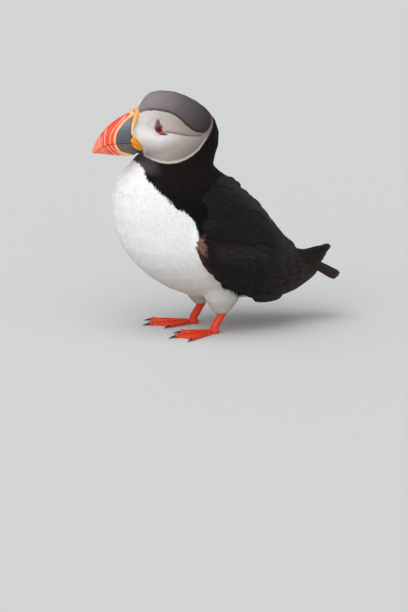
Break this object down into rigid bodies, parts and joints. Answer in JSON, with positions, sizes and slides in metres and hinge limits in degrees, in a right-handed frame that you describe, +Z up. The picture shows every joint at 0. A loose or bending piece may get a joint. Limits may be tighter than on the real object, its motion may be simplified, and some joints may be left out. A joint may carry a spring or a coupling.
{
  "type": "atlantic puffin model",
  "caption": "Still, life-size model of a standing seabird with folded wings, a deep striped bill, pale cheeks, a white breast and webbed feet.",
  "frame": {"origin": "on the floor, under the centre of the bounding box", "axes": "+Z up, the bird faces -Y, its left side is +X"},
  "size_m": [0.0994, 0.2008, 0.1845],
  "materials": {
    "head_plumage": "short soft feathers, pale grey cheeks under a dark grey crown",
    "neck_plumage": "short dense black feathers",
    "trunk_plumage": "dense white breast feathers, black on the back",
    "wing_plumage": "black wing coverts with a brown cast at the wrist",
    "flight_feather": "stiff black-brown flight and tail feathers with paler edges",
    "bill_horn": "polished horn, slate at the root and red-orange in front with pale grooves",
    "bill_band": "cream-yellow horny band",
    "gape_rosette": "wrinkled orange skin",
    "eye": "wet dark brown eye",
    "eye_ring": "red fleshy ring",
    "eye_plate": "blue-grey horny plate",
    "leg_skin": "orange-red scaly skin and webs",
    "claw": "black horn"
  },
  "bodies": {
    "root": {"head": "head_plumage", "neck": "neck_plumage", "trunk": "trunk_plumage", "thigh_left": "trunk_plumage", "thigh_right": "trunk_plumage", "bill_upper": "bill_horn", "bill_lower": "bill_horn", "bill_band": "bill_band", "gape_rosette_left": "gape_rosette", "gape_rosette_right": "gape_rosette", "eye_left": "eye", "eye_right": "eye", "eye_ring_left": "eye_ring", "eye_ring_right": "eye_ring", "eye_plate_upper_left": "eye_plate", "eye_plate_upper_right": "eye_plate", "eye_plate_lower_left": "eye_plate", "eye_plate_lower_right": "eye_plate", "wing_left": "wing_plumage", "wing_right": "wing_plumage", "primaries_left": "flight_feather", "primaries_right": "flight_feather", "tail": "flight_feather", "shank_left": "leg_skin", "shank_right": "leg_skin", "foot_left": "leg_skin", "foot_right": "leg_skin", "claw_inner_left": "claw", "claw_middle_left": "claw", "claw_outer_left": "claw", "claw_inner_right": "claw", "claw_middle_right": "claw", "claw_outer_right": "claw"}
  },
  "joints": []
}
